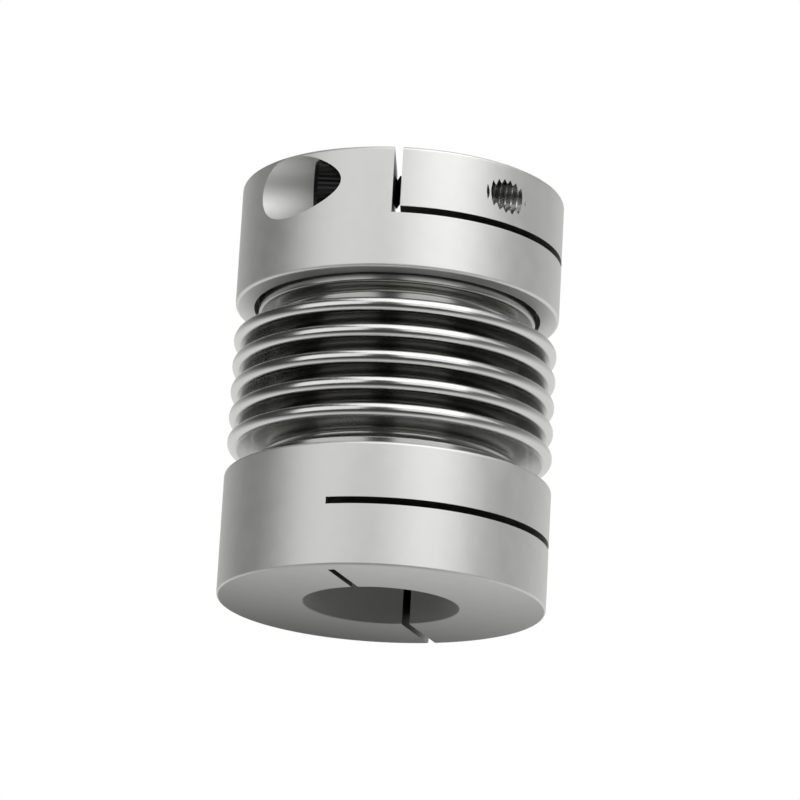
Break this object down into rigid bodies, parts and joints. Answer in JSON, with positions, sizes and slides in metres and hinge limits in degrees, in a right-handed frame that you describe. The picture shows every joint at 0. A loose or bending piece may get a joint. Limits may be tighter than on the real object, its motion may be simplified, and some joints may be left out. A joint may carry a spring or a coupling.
{
  "type": "bellows coupling",
  "caption": "Flexible shaft coupling: slotted aluminium clamp hubs bonded to a thin convoluted steel bellows, each hub closed on its shaft by a socket head screw.",
  "frame": {"origin": "centre of the lower hub's outer end face, on the axis of both bores", "axes": "+Z along the shafts from the lower hub to the upper hub; -Y towards the upper hub's clamp slit; +X towards that hub's tapped jaw"},
  "size_m": [0.02, 0.0203, 0.026],
  "materials": {
    "hub_aluminium": "bead blasted, clear anodised, satin",
    "bellows_steel": "bright drawn stainless steel, with turned lines round it",
    "screw_steel": "black oxide steel"
  },
  "bodies": {
    "lower_half": {"lower_hub": "hub_aluminium", "lower_clamp_screw": "screw_steel", "bellows": "bellows_steel"},
    "upper_half": {"upper_hub": "hub_aluminium", "upper_clamp_screw": "screw_steel"}
  },
  "joints": [
    {"name": "axial_flex", "type": "slide", "parent": "lower_half", "child": "upper_half", "axis": [0, 0, 1], "range_m": [-0.0003, 0.0003], "stiffness_N_per_m": 30000, "deforming": ["bellows"]}
  ]
}
